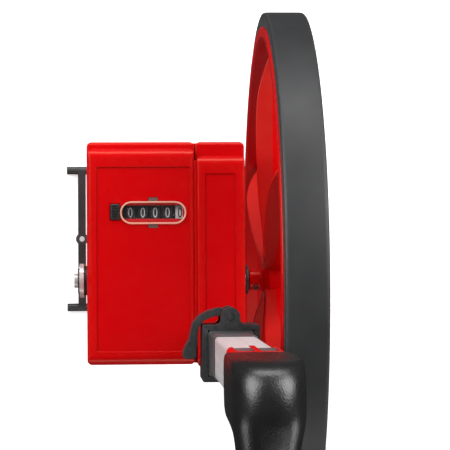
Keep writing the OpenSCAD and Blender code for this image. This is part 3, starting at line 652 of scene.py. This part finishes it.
def make_lens():
    """Clear window: a thin plate inside a rolled rim, with a clip on each long side. The rim's half-opaque pinkish
    orange is a painted highlight with painted red refraction.
    """
    a, b = low("window_lens"), high("window_lens")
    box = (a.x, b.x, a.y + LENS_CLIP, b.y - LENS_CLIP)
    plate_z = FACE_Z - 0.5 * MM
    # inset from the lens's outline and height
    stations = [(1.0 * MM, plate_z - 0.8 * MM), (0.9 * MM, plate_z - 0.1 * MM), (1.1 * MM, plate_z),
                (6.0 * MM, plate_z + 0.05 * MM)]
    rings = [[Vector((x, y, z)) for x, y in pill_outline(*box, inset)] for inset, z in stations]
    verts, faces = rings_to_mesh(rings)
    plate = piece("lens_plate", verts, faces, "lens_clear", "housing")
    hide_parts("window_lens")
    top, foot = b.z / MM, (a.z + 1.4 * MM) / MM
    profile = rounded([(0.02, foot), (0.02, top), (1.0, top), (1.0, foot)], [0, 0.4, 0.4, 0], 4)
    rings = [[Vector((x, y, p.y * MM)) for x, y in pill_outline(*box, p.x * MM)] for p in profile]
    verts, faces = rings_to_mesh(rings, loop=True)
    # Rim coloured as a painted highlight
    rim = piece("lens_rim_painted_highlight", verts, faces, "lens_rim_painted_highlight", "housing")
    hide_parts("window_lens")
    left, right = (a.x + b.x) / 2 - 2.6 * MM, (a.x + b.x) / 2 + 2.6 * MM
    sides = (("lens_clip_rear", a.y, a.y + LENS_CLIP), ("lens_clip_front", b.y - LENS_CLIP, b.y))
    for name, y0, y1 in sides:
        outline = rounded([(left, y0), (right, y0), (right, y1), (left, y1)], 0.3 * MM, 3)
        rings = [[Vector((p.x, p.y, z)) for p in outline] for z in (a.z, a.z + 1.1 * MM)]
        verts, faces = rings_to_mesh(rings)
        clip = piece(name, verts, faces, "lens_clip", "housing", smooth=False)
        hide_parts("window_lens")


def make_cover_seam():
    """Moulded strip that fills the groove between the two covers' raised blocks, almost up to the face."""
    overlap, corner = 0.58 * MM, 0.2 * MM
    x0, x1 = high("counter_cover").x - overlap, low("drive_cover").x + overlap
    y0, y1 = low("drive_cover").y + 18 * MM, high("drive_cover").y - 11 * MM
    foot, top = FACE_Z - 9.9 * MM, FACE_Z - 1.3 * MM
    outline = rounded([(x0, foot), (x0, top), (x1, top), (x1, foot)], [0, corner, corner, 0], 3)
    rings = [[Vector((p.x, y, p.y)) for p in outline] for y in (y0, y1)]
    verts, faces = rings_to_mesh(rings)
    piece("cover_seam", verts, faces, "red_plastic", "housing", smooth=False)


# ---- Grip ----
def grip_section(half_w, top, foot, top_dome, foot_dome, steps=14):
    """(x, z) outline: a round top, straight flanks and a squarer foot."""
    out = []
    for middle_z, dome, power, start in ((top - top_dome, top_dome, 2.3, 0),
                                         (foot + foot_dome, foot_dome, 3.2, math.pi)):
        for s in range(steps + 1):
            a = start + math.pi * s / steps
            c, z = math.cos(a), math.sin(a)
            out.append((half_w * math.copysign(abs(c) ** (2 / power), c),
                        middle_z + dome * math.copysign(abs(z) ** (2 / power), z)))
    return out


def make_grip():
    """Pistol grip: a long block over the tube's end and a waisted handle that falls away to the rear."""
    # Millimetres: y from the tube's middle, the section's top and foot under the grip's top, half width,
    # and how high the domes on the section's top and foot are
    stations = [
        (12.4, -30, -70, 11.6, 12, 4), (12.2, -20, -71.2, 13.8, 14, 3), (11.6, -12, -71.7, 14.8, 16, 2.4),
        (9.8, -6.6, -71.8, 15.2, 17, 2.2), (6.8, -3.5, -71.8, 15.3, 17, 2.2),
        (2.6, -1.3, -71.8, 15.3, 17, 2.2), (-4, -0.3, -71.8, 15.3, 17, 2.2),
        (-11, -0.9, -71.6, 15.2, 16, 2.4), (-14.2, -2.2, -69, 14.8, 15, 3), (-15.2, -2.6, -50, 14.5, 14, 8),
        (-17, -3.4, -36, 14.2, 14, 12), (-20, -5, -34, 13.8, 14, 12), (-24, -7.6, -35.6, 13.2, 14, 13),
        (-29, -10.6, -39.4, 12.8, 14, 14), (-36, -13.8, -44.2, 12.7, 15, 15),
        (-44, -16.8, -49.2, 13.2, 16, 16), (-54, -21.7, -53.3, 12.9, 16, 16),
        (-63, -25.1, -57.9, 13.5, 16, 16), (-73, -30, -62, 13.2, 16, 16), (-83, -34.1, -66.9, 13.8, 16, 16),
        (-92, -37.9, -71.1, 14.1, 16.5, 16.5), (-99, -41, -74.6, 14.2, 16.8, 16.8),
        (-102.8, -44, -75.2, 13.2, 15.6, 15.6), (-104.8, -48.2, -73.4, 10.5, 12.6, 12.6),
    ]
    centre_x = TUBE.x - 0.7 * MM
    lean, lean_start, lean_length = 0.42, 18, 12
    rings = []
    for y, top, foot, half_w, top_dome, foot_dome in stations:
        centre_z = (top + foot) / 2
        centre = Vector((centre_x, TUBE.y + y * MM, TOP_Z + centre_z * MM))
        share = min(1, max(0, (-y - lean_start) / lean_length))
        tilt = Matrix.Rotation(lean * share, 3, "X")
        section = grip_section(half_w, top - centre_z, foot - centre_z, top_dome, foot_dome)
        rings.append([centre + tilt @ Vector((x * MM, 0, z * MM)) for x, z in section])
    verts, faces = rings_to_mesh(rings)
    handle = piece("grip_body", verts, faces, "grip_rubber", "handle")
    smooth = handle.modifiers.new("smooth", "SUBSURF")
    smooth.levels = 1
    smooth.render_levels = 1
    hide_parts("grip")


# ---- Assembly ----
make_camera()
make_stage()
MATERIALS.update(make_materials())
paint_cad_nodes()
make_tyre()
make_rim()
make_spokes()
make_hub()
make_digits()
make_lens()
make_cover_seam()
make_grip()
